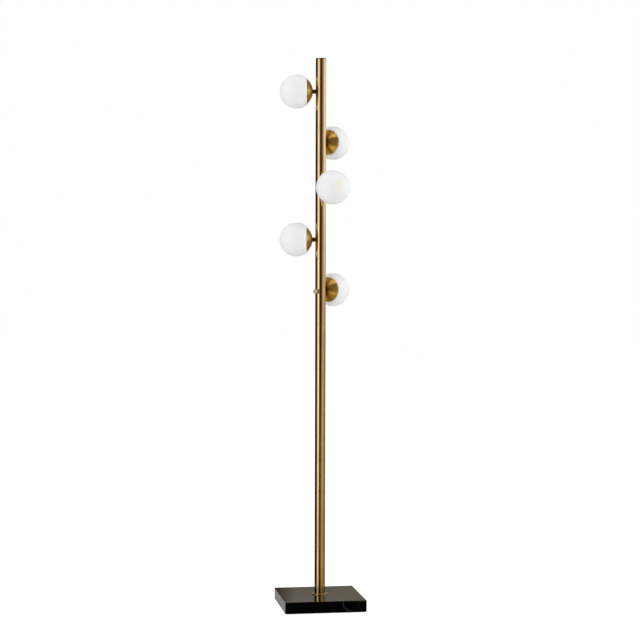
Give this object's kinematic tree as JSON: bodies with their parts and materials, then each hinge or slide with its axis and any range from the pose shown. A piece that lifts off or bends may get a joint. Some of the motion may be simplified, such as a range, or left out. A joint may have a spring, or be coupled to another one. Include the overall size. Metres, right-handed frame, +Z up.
{
  "type": "tree floor lamp",
  "caption": "Slim floor lamp: square stone base, jointed brass pole, opal glass globes on short side stems in a rising spiral, rotary switch on the pole.",
  "frame": {"origin": "on the floor under the pole, at the centre of the base pad", "axes": "+Z up the pole, X and Y square to the base; the cord bushing is at the +Y side"},
  "size_m": [0.2447, 0.2434, 1.651],
  "materials": {
    "black_marble": "polished",
    "black_felt": "felt",
    "black_plastic": "matt",
    "satin_brass": "satin",
    "antique_brass": "satin, warm antique tone",
    "spun_brass": "spun, fine turning lines",
    "dark_brass": "satin",
    "zinc_steel": "zinc plated",
    "bare_aluminium": "turned",
    "white_ceramic": "glazed",
    "bulb_cover": "frosted",
    "opal_glass": "opal, glossy",
    "lead_sheath": "matt"
  },
  "bodies": {
    "stand": {"base_slab": "black_marble", "base_pad": "black_felt", "cord_bushing": "black_plastic", "foot_flange": "satin_brass", "foot_washer": "zinc_steel", "foot_lock_washer": "zinc_steel", "foot_nut": "zinc_steel", "foot_rod": "zinc_steel", "foot_plug": "zinc_steel", "pole_joiner": "zinc_steel", "pole_lower": "antique_brass", "pole_upper": "antique_brass", "top_cap": "antique_brass", "stem_1": "dark_brass", "cup_1": "spun_brass", "globe_collar_1": "bare_aluminium", "lampholder_1": "white_ceramic", "bulb_1": "bulb_cover", "head_lead_1": "lead_sheath", "stem_2": "dark_brass", "cup_2": "spun_brass", "globe_collar_2": "bare_aluminium", "lampholder_2": "white_ceramic", "bulb_2": "bulb_cover", "head_lead_2": "lead_sheath", "stem_3": "dark_brass", "cup_3": "spun_brass", "globe_collar_3": "bare_aluminium", "lampholder_3": "white_ceramic", "bulb_3": "bulb_cover", "head_lead_3": "lead_sheath", "stem_4": "dark_brass", "cup_4": "spun_brass", "globe_collar_4": "bare_aluminium", "lampholder_4": "white_ceramic", "bulb_4": "bulb_cover", "head_lead_4": "lead_sheath", "stem_5": "dark_brass", "cup_5": "spun_brass", "globe_collar_5": "bare_aluminium", "lampholder_5": "white_ceramic", "bulb_5": "bulb_cover", "head_lead_5": "lead_sheath", "stem_nuts": "zinc_steel", "switch_body": "black_plastic", "switch_nut": "satin_brass", "splice_sleeve": "lead_sheath", "switch_lead": "lead_sheath"},
    "knob": {"switch_knob": "satin_brass", "switch_shaft": "zinc_steel"},
    "glass_1": {"globe_1": "opal_glass"},
    "glass_2": {"globe_2": "opal_glass"},
    "glass_3": {"globe_3": "opal_glass"},
    "glass_4": {"globe_4": "opal_glass"},
    "glass_5": {"globe_5": "opal_glass"}
  },
  "joints": [
    {"name": "globe_1_off", "type": "slide", "parent": "stand", "child": "glass_1", "axis": [-0.9874, 0.1582, 0], "range_m": [0, 0.09]},
    {"name": "globe_2_off", "type": "slide", "parent": "stand", "child": "glass_2", "axis": [0.6307, 0.776, 0], "range_m": [0, 0.09]},
    {"name": "globe_3_off", "type": "slide", "parent": "stand", "child": "glass_3", "axis": [0.3567, -0.9342, 0], "range_m": [0, 0.09]},
    {"name": "globe_4_off", "type": "slide", "parent": "stand", "child": "glass_4", "axis": [-0.9874, 0.1582, 0], "range_m": [0, 0.09]},
    {"name": "globe_5_off", "type": "slide", "parent": "stand", "child": "glass_5", "axis": [0.6307, 0.776, 0], "range_m": [0, 0.09]},
    {"name": "switch_turn", "type": "hinge", "parent": "stand", "child": "knob", "pos_m": [-0.01009, -0.01242, 0.9505], "axis": [-0.6307, -0.776, 0], "continuous": true}
  ]
}
